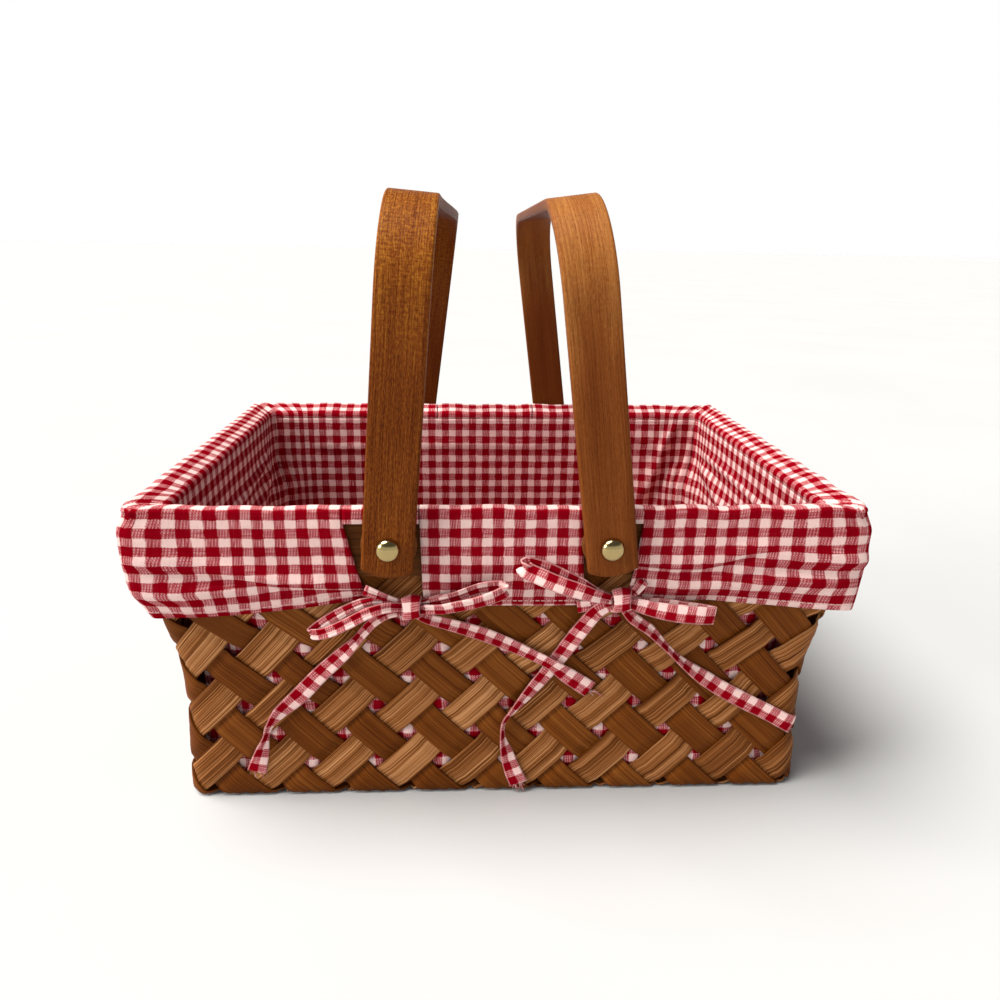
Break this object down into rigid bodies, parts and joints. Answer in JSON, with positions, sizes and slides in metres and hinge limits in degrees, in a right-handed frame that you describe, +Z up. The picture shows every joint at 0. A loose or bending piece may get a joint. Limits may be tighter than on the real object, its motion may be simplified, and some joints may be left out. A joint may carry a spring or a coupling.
{
  "type": "picnic basket",
  "caption": "Rectangular plaited-wood picnic basket with a banded rim, bent-wood handles that swing on brass rivets, and a gingham liner tied over the rim with bows.",
  "frame": {"origin": "on the floor, under the middle of the basket's outer box", "axes": "+X to the right along the long side, +Y from the front to the back, +Z up"},
  "size_m": [0.3374, 0.2614, 0.2914],
  "materials": {
    "strip_wood": "plaited flat wood strips, stained brown, matt",
    "band_wood": "thin bent wood, dark brown stain",
    "left_handle_wood": "bent flecked wood, satin brown",
    "right_handle_wood": "bent straight-grained wood, satin caramel brown",
    "brass": "polished",
    "nail_steel": "plain",
    "gingham": "red and white checked cotton"
  },
  "bodies": {
    "basket": {"back_centre_cuff": "gingham", "bow_back_left_left_tape": "gingham", "bow_back_left_right_tape": "gingham", "bow_back_right_left_tape": "gingham", "bow_back_right_right_tape": "gingham", "bow_front_left_left_tape": "gingham", "bow_front_left_right_tape": "gingham", "bow_front_right_left_tape": "gingham", "bow_front_right_right_tape": "gingham", "front_centre_cuff": "gingham", "left_end_cuff": "gingham", "liner_back_wall": "gingham", "liner_base": "gingham", "liner_front_wall": "gingham", "liner_left_wall": "gingham", "liner_right_wall": "gingham", "right_end_cuff": "gingham", "rim_inner_band": "band_wood", "rim_nail_back_1": "nail_steel", "rim_nail_back_2": "nail_steel", "rim_nail_back_3": "nail_steel", "rim_nail_front_1": "nail_steel", "rim_nail_front_2": "nail_steel", "rim_nail_front_3": "nail_steel", "rim_nail_left_1": "nail_steel", "rim_nail_left_2": "nail_steel", "rim_nail_right_1": "nail_steel", "rim_nail_right_2": "nail_steel", "rim_outer_band": "band_wood", "rivet_back_left": "brass", "rivet_back_right": "brass", "rivet_front_left": "brass", "rivet_front_right": "brass", "rivet_washer_back_left": "brass", "rivet_washer_back_right": "brass", "rivet_washer_front_left": "brass", "rivet_washer_front_right": "brass", "spacer_back_left": "band_wood", "spacer_back_right": "band_wood", "spacer_front_left": "band_wood", "spacer_front_right": "band_wood", "woven_body": "strip_wood"},
    "left_handle": {"left_handle": "left_handle_wood"},
    "right_handle": {"right_handle": "right_handle_wood"}
  },
  "joints": [
    {"name": "left_handle_swing", "type": "hinge", "parent": "basket", "child": "left_handle", "pos_m": [-0.051, 0, 0.1415], "axis": [0, 1, 0], "range_deg": [-95, 6.5]},
    {"name": "right_handle_swing", "type": "hinge", "parent": "basket", "child": "right_handle", "pos_m": [0.048, 0, 0.1415], "axis": [0, 1, 0], "range_deg": [-5, 98]}
  ]
}
